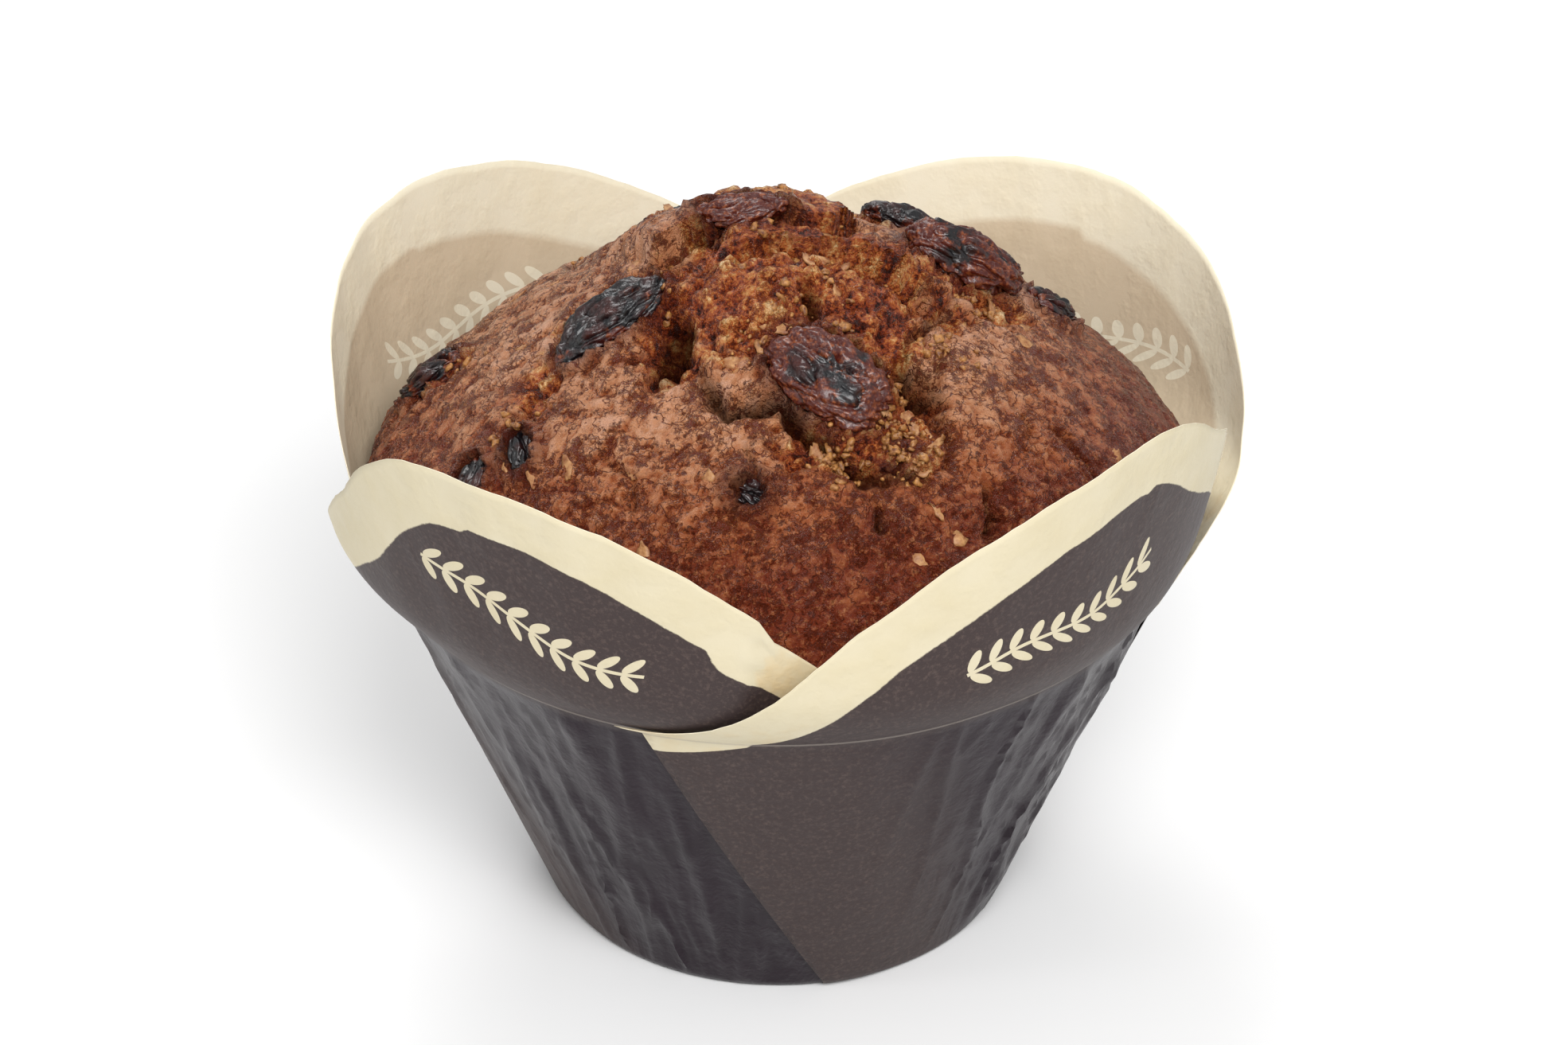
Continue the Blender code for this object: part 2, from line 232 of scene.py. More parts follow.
def folded_point(quarter, column, run):
    """Place of a point of the sheet once the cup is pressed and pleated, and its flat azimuth."""
    outer, inner, inner_azimuth, spread = fold_lines(run)
    offset = column_offset(column, run)
    above = max(run - CREASE_RUN, 0.0)
    lap = max((outer + inner) * spread - 90.0, 0.0)
    stand = smooth_step(0.0, 10.0, above)
    folded_down = 0.0
    if column <= PANEL_COLUMNS:
        azimuth = PETAL_AZIMUTH + offset * spread
        from_fold = (offset + outer) * spread
        from_end = (inner - offset) * spread
        layer = -2 * LAYER_GAP * smooth_step(lap, lap + 25.0, from_fold)
        if column == 0:
            layer = -0.5 * LAYER_GAP
        if column == PANEL_COLUMNS:
            layer = -1.5 * LAYER_GAP
        flap = 1 - smooth_step(lap * 0.5, lap + 34.0, from_fold)
        layer += FLAP_STANDS[quarter % 4] * stand * flap
        layer -= 1.3 * stand * (1 - smooth_step(4.0, 30.0, from_end))
        layer -= TUCK_DEPTH * stand * tuck(quarter % 4, offset)
        folded_down = max(
            1 - smooth_step(lap, lap + 12.0, from_fold), 1 - smooth_step(lap, lap + 6.0, from_end)
        )
    else:
        azimuth = inner_azimuth + 90.0 - (offset - inner) * spread
        layer = -LAYER_GAP
        if column == PANEL_COLUMNS + LAP_COLUMNS:
            layer = -0.5 * LAYER_GAP
        folded_down = 1.0
    shown = azimuth + 90.0 * quarter
    radius, height = cup_section(run, shown)
    calm = mix(1.0, 0.25, folded_down)
    dry = 1 - smooth_step(20.0, 50.0, (offset + outer) * spread)
    layer += wall_crumple(shown, run) * calm * mix(1.0, 0.15, dry) + petal_wave(shown, run)
    leaning = smooth_step(BASE_FLAT, CORNER_END, run)
    shown += petal_turn(shown) * smooth_step(0.0, 16.0, above)
    return around(shown, radius + layer * leaning, height), offset


def outline_points(petal):
    """Points along one petal's outline in the flat sheet, about its own middle line."""
    return [around(angle / 3, outline_run(angle / 3, petal)) for angle in range(-138, 139)]


def sprig_place(petal, offset, run):
    """Place of a flat point along and across its petal's sprig."""
    across, along, turn = SPRIG_PLACES[petal]
    angle = math.radians(offset)
    flat = Vector((run * math.sin(angle) - across, run * math.cos(angle) - along))
    return Matrix.Rotation(math.radians(-turn), 2) @ flat


def pressed_sheet():
    """The liner's mesh: a flat grid taken through the press, with its print's place kept on it."""
    shape = bmesh.new()
    columns = 4 * (PANEL_COLUMNS + LAP_COLUMNS)
    rows = BASE_ROWS + CORNER_ROWS + WALL_ROWS + PETAL_ROWS
    bmesh.ops.create_grid(shape, x_segments=columns, y_segments=rows, size=0.5)
    edge, grease, stain, sprig_x, sprig_y, round_cup, above_crease = (
        shape.verts.layers.float.new(name)
        for name in ("rim_distance", "grease", "stain", "sprig_x", "sprig_y", "round_cup", "above_crease")
    )
    outlines = [outline_points(petal) for petal in range(4)]
    rims = {}
    for vert in shape.verts:
        number = round((vert.co.x + 0.5) * columns)
        row = round((vert.co.y + 0.5) * rows)
        quarter, column = divmod(number, PANEL_COLUMNS + LAP_COLUMNS)
        petal = quarter % 4
        past_notch = column > PANEL_COLUMNS + LAP_COLUMNS / 2
        if past_notch:
            petal = (quarter + 1) % 4
        if (petal, column) not in rims:
            rims[petal, column] = rim_run(column, petal)
        run = row_run(row, rims[petal, column])
        point, offset = folded_point(quarter, column, run)
        vert.co = point * MM
        away = offset - 90.0 if past_notch else offset
        vert[edge] = 20.0
        if run > CREASE_RUN - 10:
            flat = around(away, run)
            middle, end = (1.0, 0.7) if away >= 0 else (1.12, 0.85)
            narrowing = mix(middle, end, smooth_step(10.0, 26.0, abs(away)))
            vert[edge] = min((flat - corner).length for corner in outlines[petal]) / narrowing
        vert[above_crease] = run - CREASE_RUN
        place = sprig_place(petal, away, run)
        vert[sprig_x] = place.x
        vert[sprig_y] = place.y
        vert[round_cup] = (PETAL_AZIMUTH + offset + 90.0 * quarter) * math.radians(CREASE_RADIUS)
        outer, inner, _, spread = fold_lines(run)
        cup = 1 - smooth_step(CREASE_RUN - 1.0, CREASE_RUN + 0.3, run)
        soaked = smooth_step(24.0, 52.0, (offset + outer) * spread) if column <= PANEL_COLUMNS else 0.0
        vert[grease] = cup * soaked
        right_end = tuck(petal, offset)
        if petal in (FRONT_RIGHT_PETAL, FRONT_LEFT_PETAL):
            right_end = max(right_end, smooth_step(24.0, 6.0, (inner - offset) * spread))
        vert[stain] = max(0.7 - 0.7 * smooth_step(4.0, 13.0, run - CREASE_RUN), 0.95 * right_end)
    bmesh.ops.remove_doubles(shape, verts=shape.verts, dist=0.01 * MM)
    bmesh.ops.dissolve_degenerate(shape, edges=shape.edges, dist=0.005 * MM)
    bmesh.ops.recalc_face_normals(shape, faces=shape.faces)
    return shape


def to_linear(hex_colour):
    """An sRGB hex colour as the linear values that a shader takes."""
    values = [int(hex_colour[place:place + 2], 16) / 255 for place in (1, 3, 5)]
    linear = [v / 12.92 if v <= 0.04045 else ((v + 0.055) / 1.055) ** 2.4 for v in values]
    return (*linear, 1.0)


def add_node(tree, kind, inputs=None, **settings):
    """Adds a shader node with its settings, values and links, and gives its first output."""
    made = tree.nodes.new(kind)
    for name, value in settings.items():
        setattr(made, name, value)
    for socket, value in (inputs or {}).items():
        if isinstance(value, bpy.types.NodeSocket):
            tree.links.new(value, made.inputs[socket])
        else:
            made.inputs[socket].default_value = value
    return next(socket for socket in made.outputs if socket.enabled)


def start_material(name):
    """An empty material, its tree and its Principled shader."""
    material = bpy.data.materials.new(name)
    material.use_nodes = True
    return material, material.node_tree, material.node_tree.nodes["Principled BSDF"]


MATH = "ShaderNodeMath"
VECTOR = "ShaderNodeVectorMath"
NOISE = "ShaderNodeTexNoise"
RANGE = "ShaderNodeMapRange"
MIX = "ShaderNodeMix"
ATTRIBUTE = "ShaderNodeAttribute"


def sprig_ink(tree):
    """Mask of the sprig printed on each petal: a bent stem with grains in pairs along it."""
    half_length, grain_step = 13.5, 2.7
    along = add_node(tree, ATTRIBUTE, attribute_name="sprig_x").node.outputs["Fac"]
    across = add_node(tree, ATTRIBUTE, attribute_name="sprig_y").node.outputs["Fac"]
    bend = add_node(tree, MATH, {0: along, 1: 0.23}, operation="MULTIPLY")
    bend = add_node(tree, MATH, {0: bend}, operation="SINE")
    off_stem = add_node(tree, MATH, {0: bend, 1: 1.1, 2: across}, operation="MULTIPLY_ADD")
    side = add_node(tree, MATH, {0: off_stem}, operation="ABSOLUTE")
    within = add_node(tree, MATH, {0: along, 1: 0.0, 2: half_length}, operation="COMPARE")
    stem = add_node(tree, MATH, {0: side, 1: 0.24}, operation="LESS_THAN")
    step = add_node(tree, MATH, {0: along, 1: grain_step, 2: 0.0}, operation="WRAP")
    place = add_node(tree, "ShaderNodeCombineXYZ", {0: step, 1: side})
    slant = (0.0, 0.0, math.radians(48))
    grain = add_node(
        tree, "ShaderNodeMapping",
        {0: place, "Location": (1.35, 1.35, 0.0), "Rotation": slant, "Scale": (1.5, 0.6, 1.0)},
        vector_type="TEXTURE",
    )
    reach = add_node(tree, VECTOR, {0: grain}, operation="LENGTH").node.outputs["Value"]
    grain = add_node(tree, MATH, {0: reach, 1: 1.0}, operation="LESS_THAN")
    both = add_node(tree, MATH, {0: stem, 1: grain}, operation="MAXIMUM")
    return add_node(tree, MATH, {0: both, 1: within}, operation="MULTIPLY")


def paper_material(name, printed):
    """Bleached greaseproof paper: tight fibres, a soft satin skin, and ink on it or showing through."""
    material, tree, shader = start_material(name)
    place = add_node(tree, "ShaderNodeTexCoord").node.outputs["Object"]
    rim, grease, stain, turn, above = (
        add_node(tree, ATTRIBUTE, attribute_name=layer).node.outputs["Fac"]
        for layer in ("rim_distance", "grease", "stain", "round_cup", "above_crease")
    )
    fibre = add_node(tree, NOISE, {"Vector": place, "Scale": 1 / (0.5 * MM), "Detail": 6.0, "Roughness": 0.7})
    cloud = add_node(tree, NOISE, {"Vector": place, "Scale": 1 / (6 * MM), "Detail": 4.0, "Roughness": 0.6})
    narrower = add_node(tree, RANGE, {0: above, "From Min": -0.5, "From Max": -3.0, "To Max": 2.6})
    wobble = add_node(tree, MATH, {0: fibre, 1: 0.35, 2: rim}, operation="MULTIPLY_ADD")
    wobble = add_node(tree, MATH, {0: wobble, 1: narrower}, operation="ADD")
    border_end = BORDER_WIDTH + (0.15 if printed else 0.9)
    inked = add_node(tree, RANGE, {0: wobble, "From Min": BORDER_WIDTH, "From Max": border_end})
    sprig = add_node(tree, MATH, {0: 1.0, 1: sprig_ink(tree)}, operation="SUBTRACT")
    inked = add_node(tree, MATH, {0: inked, 1: sprig}, operation="MULTIPLY")
    pale, yellowed = ("#d5ccb4", "#c8bb98") if printed else ("#f2ebd6", "#e6dabb")
    cream = add_node(
        tree, MIX, {"Factor": cloud, "A": to_linear(pale), "B": to_linear(yellowed)}, data_type="RGBA"
    )
    if printed:
        flecks = add_node(tree, RANGE, {0: fibre, "From Min": 0.5, "From Max": 0.72})
        dry = {"Factor": flecks, "A": to_linear("#3b302f"), "B": to_linear("#564843")}
        dry = add_node(tree, MIX, dry, data_type="RGBA")
        # Painted shade: the ink on the greasy cup wall is darkened by the oil and also painted darker as
        # shade of the wall under the flared petals.
        wet = {"Factor": cloud, "A": to_linear("#170d14"), "B": to_linear("#261a23")}
        wet = add_node(tree, MIX, wet, data_type="RGBA")
        ink = add_node(tree, MIX, {"Factor": grease, "A": dry, "B": wet}, data_type="RGBA")
    else:
        ink = {"Factor": cloud, "A": to_linear("#dccbb0"), "B": to_linear("#c8b698")}
        ink = add_node(tree, MIX, ink, data_type="RGBA")
    spots = add_node(tree, MATH, {0: cloud, 1: stain}, operation="MULTIPLY")
    spots = add_node(
        tree, RANGE, {0: spots, "From Min": 0.3, "From Max": 0.62, "To Max": 0.45 if printed else 0.8}
    )
    bare = add_node(tree, MIX, {"Factor": spots, "A": cream, "B": to_linear("#d0a868")}, data_type="RGBA")
    colour = add_node(tree, MIX, {"Factor": inked, "A": bare, "B": ink}, data_type="RGBA")
    # A grey line along the crease, lighter than the ink outside and darker than the cream inside.
    on_crease = add_node(tree, MATH, {0: above, 1: 0.0, 2: 0.22}, operation="COMPARE")
    crease_grey = add_node(tree, MATH, {0: on_crease, 1: 0.35}, operation="MULTIPLY")
    colour = add_node(tree, MIX, {"Factor": crease_grey, "A": colour, "B": to_linear("#a39a90")}, data_type="RGBA")
    tree.links.new(colour, shader.inputs["Base Color"])
    gloss = add_node(tree, RANGE, {0: grease, "To Min": 0.5, "To Max": 0.3})
    tree.links.new(gloss, shader.inputs["Roughness"])
    shader.inputs["Specular IOR Level"].default_value = 0.2
    strips = add_node(tree, "ShaderNodeCombineXYZ", {0: turn, 1: cloud})
    flutes = add_node(tree, NOISE, {"Vector": strips, "Scale": 0.9, "Detail": 1.0})
    where = add_node(tree, RANGE, {0: cloud, "From Min": 0.42, "From Max": 0.7})
    flutes = add_node(tree, MATH, {0: flutes, 1: where}, operation="MULTIPLY")
    skin = add_node(tree, MATH, {0: fibre, 1: 0.12, 2: flutes}, operation="MULTIPLY_ADD")
    bump = add_node(tree, "ShaderNodeBump", {"Height": skin, "Strength": 0.5, "Distance": 0.4 * MM})
    tree.links.new(bump, shader.inputs["Normal"])
    return material


def add_piece(name, shape, *materials):
    """A finished bmesh as a piece that belongs to the muffin's one body."""
    mesh = bpy.data.meshes.new(name)
    shape.to_mesh(mesh)
    shape.free()
    mesh.shade_smooth()
    for material in materials:
        mesh.materials.append(material)
    piece = bpy.data.objects.new(name, mesh)
    bpy.context.scene.collection.objects.link(piece)
    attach(piece, "root")
    return piece


liner = add_piece(
    "paper_liner_sheet",
    pressed_sheet(),
    paper_material("printed greaseproof paper", True),
    paper_material("plain side of greaseproof paper", False),
)
liner.data.set_sharp_from_angle(angle=math.radians(60))
wall = liner.modifiers.new("paper thickness", "SOLIDIFY")
wall.thickness = PAPER_THICKNESS * MM
wall.offset = -1.0
wall.material_offset = 1
wall.material_offset_rim = 1
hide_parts("paper_liner")
# The cut sheet's flat area, in thin sectors of a quarter of a degree.
flat_area = 0.0
for flat_petal in range(4):
    for sector in range(360):
        flat_area += outline_run(-44.875 + sector / 4, flat_petal) ** 2 * math.radians(0.125)

# ---------------------------------------------------------------------------------------------
# Baked crumb. Bran batter that filled the liner's cup and rose as a rough dome. Its crust set in
# plates over the sides, and tore open over the crown and round the raisins, where it is golden.
DOME_OUTLINE = (
    (0.0, 79.3), (5.5, 78.6), (11.0, 76.9), (16.5, 74.2), (22.0, 71.0), (27.0, 67.9), (31.8, 64.8),
    (36.3, 61.3), (40.0, 58.0), (42.6, 55.2), (44.3, 52.6), (44.9, 50.0), (44.4, 47.6), (43.3, 45.2),
    (42.0, 43.0),
)
DOME_HEART = Vector((0.0, 0.0, 35.0))
DOME_CELLS = 300
FRONT_SHARE = 0.2
CROWN_LEVEL = 80.0
CUP_INSET = 1.7
CUP_FOOT = 1.2
# Places on the crust are seen from above: X to the right and Y away from the front.
# Swells: X, Y, reach and height.
SWELLS = (
    (-5.5, 2.0, 13.0, 1.6), (1.7, -11.9, 8.0, 1.0), (28.5, -9.3, 12.0, 1.2), (-19.8, -19.8, 10.0, 1.0),
    (12.5, 21.7, 12.0, 0.9), (0.0, -9.0, 5.0, 1.1), (10.0, -9.0, 5.5, 1.1), (-31.0, -13.0, 8.0, 0.6),
    (3.0, -30.0, 6.0, 0.7), (22.0, -22.0, 7.0, 0.8), (-8.0, -33.0, 8.0, 0.7),
)
# Torn patches: X, Y, half width, half depth.
TORN_PATCHES = (
    (3.0, -3.0, 16.0, 8.5), (-2.0, -12.0, 9.5, 6.5), (12.0, -22.0, 5.2, 6.0), (5.0, -12.0, 11.0, 6.0),
    (5.0, -26.2, 6.5, 2.6), (-11.0, -12.5, 4.0, 6.5), (-25.0, -13.0, 2.4, 5.0), (20.0, 0.0, 6.0, 4.5),
    (-36.5, 3.0, 4.0, 3.0), (-17.0, -5.0, 7.0, 4.0), (-2.0, 9.0, 12.0, 6.0), (-14.0, 20.0, 6.0, 4.0),
    (10.0, 19.0, 5.0, 7.0), (-4.0, 33.0, 5.0, 3.0),
)
# Ledges: a raised edge along a route of X and Y, its height, and how far behind it fades.
LEDGES = (
    (((-14.0, -1.0), (-9.0, 2.0), (0.0, 3.5), (6.0, 4.5), (10.0, 9.0)), 2.8, 12.0),
    (((-7.0, -3.0), (0.0, -1.8), (6.0, -0.6), (11.0, -1.0), (15.0, -3.8), (18.5, -8.0)), 2.3, 4.5),
    (((22.0, 14.0), (12.0, 21.0), (2.0, 24.0), (-8.0, 22.0)), -1.2, 8.0),
)
# Cracks: a route of X and Y, half width and depth.
CRACKS = (
    (((-8.5, -17.5), (-7.2, -20.5), (-5.8, -22.4), (-2.6, -22.2), (0.2, -21.9), (3.4, -25.2), (8.4, -28.6),
      (14.0, -27.4)), 0.9, 2.3),
    (((-11.2, -9.5), (-10.8, -13.0), (-12.0, -17.2)), 1.7, 3.2),
    (((3.0, -8.8), (3.4, -12.4)), 0.8, 3.0),
    (((12.6, -15.2), (13.6, -17.6), (15.4, -19.0)), 1.3, 3.2),
    (((18.4, -3.4), (15.8, -9.2), (13.6, -12.0), (13.4, -14.8), (15.8, -17.0), (16.3, -20.7), (17.6, -25.5)),
     0.6, 1.2),
    (((-8.0, -4.9), (-2.0, -4.7), (2.5, -3.9), (8.0, -4.2), (12.0, -5.0), (15.0, -7.0)), 0.8, 1.7),
    (((-9.0, 1.6), (-5.0, 3.0), (0.0, 3.0)), 0.7, 1.3),
    (((21.2, -26.0), (21.9, -28.2), (21.4, -30.4)), 0.45, 2.2),
    (((9.6, -31.0), (10.6, -33.4)), 0.5, 1.6),
    (((23.5, -14.6), (25.6, -17.4), (25.8, -19.6)), 0.3, 0.6),
    (((16.9, -14.0), (16.0, -17.0)), 0.3, 0.7),
    (((27.8, -15.6), (31.2, -17.6), (33.4, -19.8)), 0.35, 0.7),
    (((-24.2, -10.4), (-26.4, -14.0), (-29.0, -19.6)), 0.5, 0.7),
    (((-3.2, -25.6), (-2.4, -29.6), (-4.6, -33.0)), 0.4, 0.8),
    (((-18.0, -24.0), (-14.6, -27.4), (-15.0, -31.0)), 0.35, 0.6),
    (((-20.0, 12.0), (-24.0, 18.0), (-22.0, 25.0)), 0.5, 1.3),
    (((26.0, 8.0), (24.0, 16.0), (28.0, 22.0)), 0.45, 1.2),
    (((2.0, 24.0), (6.0, 30.0), (3.0, 36.0)), 0.5, 1.4),
)


def outline_curve(steps):
    """The dome's outline as a smooth curve through its points, with the way along it at each step."""
    corners = [Vector(point) for point in DOME_OUTLINE]
    corners = [Vector((-corners[1].x, corners[1].y)), *corners, corners[-1] * 2 - corners[-2]]
    curve = []
    for step in range(steps + 1):
        place = step / steps * (len(DOME_OUTLINE) - 1)
        first = min(int(place), len(DOME_OUTLINE) - 2)
        t = place - first
        before, start, end, after = corners[first:first + 4]
        point = 0.5 * (
            2 * start + (end - before) * t + (2 * before - 5 * start + 4 * end - after) * t * t
            + (3 * start - before - 3 * end + after) * t ** 3
        )
        curve.append(point)
    ways = [0.0]
    for here, there in zip(curve, curve[1:]):
        ways.append(ways[-1] + (there - here).length)
    return curve, ways


dome_curve, dome_ways = outline_curve(400)
DOME_WAY = dome_ways[-1]


def dome_point(azimuth, way):
    """A point of the plain dome at an azimuth and a way down from the crown."""
    step = min(max(bisect.bisect_left(dome_ways, way), 1), len(dome_ways) - 1)
    share = (way - dome_ways[step - 1]) / (dome_ways[step] - dome_ways[step - 1])
    place = dome_curve[step - 1].lerp(dome_curve[step], share)
    return around(azimuth, place.x, place.y)


def route_reading(x, y, route):
    """Distance to a route, signed by the side, and the share of the way along it."""
    best = (1e9, 1.0, 0.0)
    for number, ((x0, y0), (x1, y1)) in enumerate(zip(route, route[1:])):
        dx, dy = x1 - x0, y1 - y0
        share = min(max(((x - x0) * dx + (y - y0) * dy) / (dx * dx + dy * dy), 0.0), 1.0)
        gap = math.hypot(x - x0 - dx * share, y - y0 - dy * share)
        if gap < best[0]:
            side = 1.0 if dx * (y - y0) - dy * (x - x0) > 0 else -1.0
            best = (gap, side, (number + share) / (len(route) - 1))
    return best


def ridges(point, size, width):
    """1 on the lines where a noise changes sign, 0 away from them."""
    return 1 - smooth_step(0.0, width, abs(noise.noise(point / size)))


raisin_names = sorted(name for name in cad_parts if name.startswith("raisin_"))


def fused_copy(name):
    """A bmesh of a CAD node with its loose triangles joined."""
    shape = bmesh.new()
    shape.from_mesh(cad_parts[name].data)
    bmesh.ops.remove_doubles(shape, verts=shape.verts, dist=0.01 * MM)
    return shape


def raisin_trees():
    """A search tree for each raisin, to tell how near the crust is to it."""
    trees = []
    for name in raisin_names:
        shape = fused_copy(name)
        middle = sum((vert.co for vert in shape.verts), Vector()) / len(shape.verts)
        reach = max((vert.co - middle).length for vert in shape.verts)
        trees.append((BVHTree.FromBMesh(shape), middle / MM, reach / MM))
        shape.free()
    return trees


fruit_trees = raisin_trees()


def fruit_distance(point):
    """Distance from a point to the nearest raisin's skin, below zero inside it."""
    nearest = 9.0
    for tree, middle, reach in fruit_trees:
        if (point - middle).length > reach + 4.0:
            continue
        place, normal, _, gap = tree.find_nearest(point * MM)
        inside = (point * MM - place).dot(normal) < 0
        nearest = min(nearest, -gap / MM if inside else gap / MM)
    return nearest


def torn_share(x, y, point):
    """How far the crust is torn open at a place: 0 on a whole plate, 1 in open crumb."""
    ragged = 0.30 * noise.noise(point / 3.2) + 0.26 * noise.noise(point / 1.3)
    ragged += 0.12 * noise.noise(point / 0.6)
    torn = 0.0
    for centre_x, centre_y, half_width, half_depth in TORN_PATCHES:
        away = math.hypot((x - centre_x) / half_width, (y - centre_y) / half_depth)
        torn = max(torn, 1 - smooth_step(0.82, 1.08, away + ragged))
    return torn


def crust_reading(azimuth, way):
    """The crust at a place: its point, and what its colour depends on."""
    plain = dome_point(azimuth, way)
    x, y = plain.x, plain.y
    outward = (plain - DOME_HEART).normalized()
    free = smooth_step(45.5, 52.0, plain.z)
    warp = Vector((noise.noise(plain / 2.6), noise.noise(plain / 2.6 + Vector((9, 0, 0))), 0.0))
    x_ragged = x + 0.9 * warp.x + 0.35 * noise.noise(plain / 0.9)
    y_ragged = y + 0.9 * warp.y + 0.35 * noise.noise(plain / 0.9 + Vector((0, 7, 0)))
    rise = 0.7 * noise.noise(plain / 9.0) + 0.35 * noise.noise(plain / 4.0)
    for centre_x, centre_y, reach, height in SWELLS:
        away = ((x - centre_x) ** 2 + (y - centre_y) ** 2) / reach ** 2
        if away < 9:
            rise += height * math.exp(-away)
    lean = 0.0
    for route, height, fade in LEDGES:
        gap, side, share = route_reading(x_ragged, y_ragged, route)
        ends = smooth_step(0.0, 0.12, share) * (1 - smooth_step(0.88, 1.0, share))
        if gap < 9 and side < 0:
            rise -= 0.75 * height * math.exp(-((gap / 3.2) ** 2)) * ends
        if gap < 3 * fade and side > 0:
            rise += height * smooth_step(0.0, 0.35, gap) * math.exp(-((gap / fade) ** 2)) * ends
            lean = max(lean, 0.7 * height * ends * smooth_step(0.0, 0.4, gap) * math.exp(-gap / 2.2))
    torn = torn_share(x, y, plain)
    pit = 0.0
    for route, half_width, depth in CRACKS:
        gap, _, share = route_reading(x_ragged, y_ragged, route)
        if gap < 4 * half_width:
            tail = smooth_step(-0.02, 0.2, share) * (1 - smooth_step(0.8, 1.02, share))
            pit = max(pit, depth * mix(0.35, 1.0, tail) * (1 - smooth_step(0.15, 1.6, gap / half_width)))
    speck = noise.noise(plain / 0.75)
    tuft = 0.0
    if torn > 0.01:
        tuft = noise.turbulence(plain / 3.4, 5, True, noise_basis="PERLIN_ORIGINAL") - 0.62
        tuft += 0.45 * (0.5 - noise.voronoi((plain + 0.4 * warp) / 1.3)[0][0])
    large = ridges(plain + 0.8 * warp, 2.9, 0.12)
    small = ridges(plain + 0.6 * warp + Vector((3, 1, 4)), 1.7, 0.13)
    calm = smooth_step(-20.0, 12.0, x - 0.3 * y)
    network = max(large, 0.75 * small) * mix(1.0, 0.75, calm)
    wrinkle = 0.17 * noise.noise(plain / 1.5) + 0.16 * speck - mix(0.42, 0.32, calm) * network
    skin = rise + mix(wrinkle, 2.3 * tuft, torn) - pit * (1 + 0.35 * noise.noise(plain / 1.1)) - 0.6 * torn
    point = plain + outward * skin * free + Vector((0, -lean, 0.1 * lean)) * free
    if point.z > CROWN_LEVEL:
        point.z = mix(CROWN_LEVEL, point.z, 0.45)
    gap = fruit_distance(point)
    moat = 1.3 * (1 - smooth_step(-0.9, 0.15, gap))
    collar = (1.0 + 0.7 * speck) * math.exp(-((gap - 0.35) / 0.9) ** 2)
    point -= outward * (moat - collar) * free
    juice = 1 - smooth_step(0.4, 2.4 + 1.5 * warp.x, gap)
    shade = max(min(pit / 2.0, 1.0), 0.7 * (1 - smooth_step(-0.1, 0.35, gap)))
    # The fine height also goes to the colour, for painted shade in the hollows and a painted sheen on the
    # ridges.
    return point, torn, mix(0.5 + 1.1 * wrinkle, 0.5 + 0.8 * tuft, torn), shade, juice


def crumb_shape():
    """The whole crumb: a square grid rounded to the dome, and its wall and foot in the cup."""
    shape = bmesh.new()
    crust, relief_shade, pit, juice = (
        shape.verts.layers.float.new(name) for name in ("crust", "relief_shade", "pit", "juice")
    )
    bmesh.ops.create_grid(shape, x_segments=DOME_CELLS, y_segments=DOME_CELLS, size=1.0)
    for vert in shape.verts:
        x, y = vert.co.x, vert.co.y
        y -= FRONT_SHARE * (1 - y * y)
        across, away = x * math.sqrt(1 - y * y / 2), y * math.sqrt(1 - x * x / 2)
        azimuth = math.degrees(math.atan2(across, -away))
        reading = crust_reading(azimuth, math.hypot(across, away) * DOME_WAY)
        vert.co = reading[0] * MM
        vert[crust], vert[relief_shade], vert[pit], vert[juice] = 1 - reading[1], *reading[2:]
    rim = [edge for edge in shape.edges if edge.is_boundary]
    for height in (36.0, 18.0, 3.0, CUP_FOOT):
        lower = bmesh.ops.extrude_edge_only(shape, edges=rim)["geom"]
        share = height / CREASE_HEIGHT
        radius = mix(BASE_FLAT + BASE_CORNER - 0.4, CREASE_RADIUS, share) - CUP_INSET
        for vert in (item for item in lower if isinstance(item, bmesh.types.BMVert)):
            azimuth = math.degrees(math.atan2(vert.co.x, -vert.co.y))
            vert.co = around(azimuth, radius, height) * MM
            vert[relief_shade] = 0.5
        rim = [item for item in lower if isinstance(item, bmesh.types.BMEdge)]
    bmesh.ops.edgeloop_fill(shape, edges=rim)
    bmesh.ops.recalc_face_normals(shape, faces=shape.faces)
    return shape


